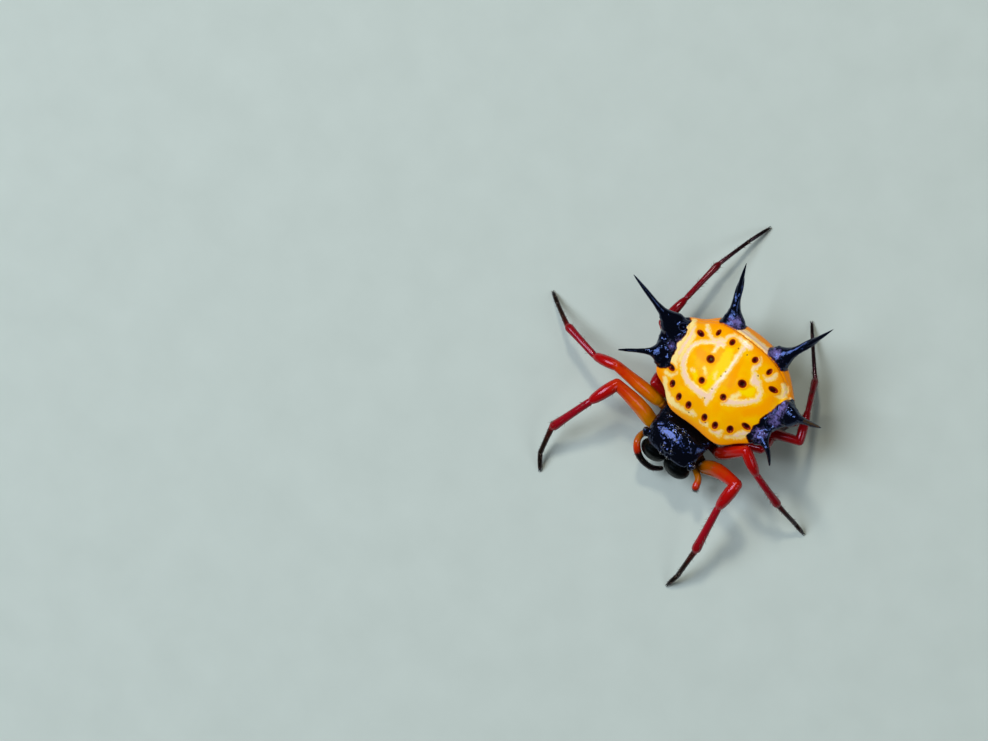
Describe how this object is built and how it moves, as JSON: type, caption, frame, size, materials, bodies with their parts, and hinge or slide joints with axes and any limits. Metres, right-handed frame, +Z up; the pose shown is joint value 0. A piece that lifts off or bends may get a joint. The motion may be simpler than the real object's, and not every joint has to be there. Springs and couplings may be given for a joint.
{
  "type": "spiny orb weaver",
  "caption": "Female spiny orb weaver standing with spread legs, a wide orange plated abdomen with black spines, black head and red legs.",
  "frame": {"origin": "on the floor, under the middle of the whole animal's box, feet included", "axes": "+Z up, -Y the way the animal faces, +X its left"},
  "size_m": [0.0206, 0.0204, 0.0079],
  "materials": {
    "abdomen_shell": "glossy hard cuticle, orange-yellow with pale bands, dark pits and black spines",
    "black_shell": "glossy black cuticle",
    "palp": "glossy orange-red cuticle, black at the end",
    "leg": "glossy cuticle, orange at the base, red in the middle and black at the foot",
    "eye": "clear wet gloss over black"
  },
  "bodies": {
    "root": {"abdomen": "abdomen_shell", "spinnerets": "black_shell", "pedicel": "black_shell", "carapace": "black_shell", "chelicera_left": "black_shell", "chelicera_right": "black_shell", "pedipalp_left": "palp", "pedipalp_right": "palp", "leg_1_left": "leg", "leg_1_right": "leg", "leg_2_left": "leg", "leg_2_right": "leg", "leg_3_left": "leg", "leg_3_right": "leg", "leg_4_left": "leg", "leg_4_right": "leg", "eye_front_median_left": "eye", "eye_front_median_right": "eye", "eye_rear_median_left": "eye", "eye_rear_median_right": "eye", "eye_front_lateral_left": "eye", "eye_front_lateral_right": "eye", "eye_rear_lateral_left": "eye", "eye_rear_lateral_right": "eye"}
  },
  "joints": []
}
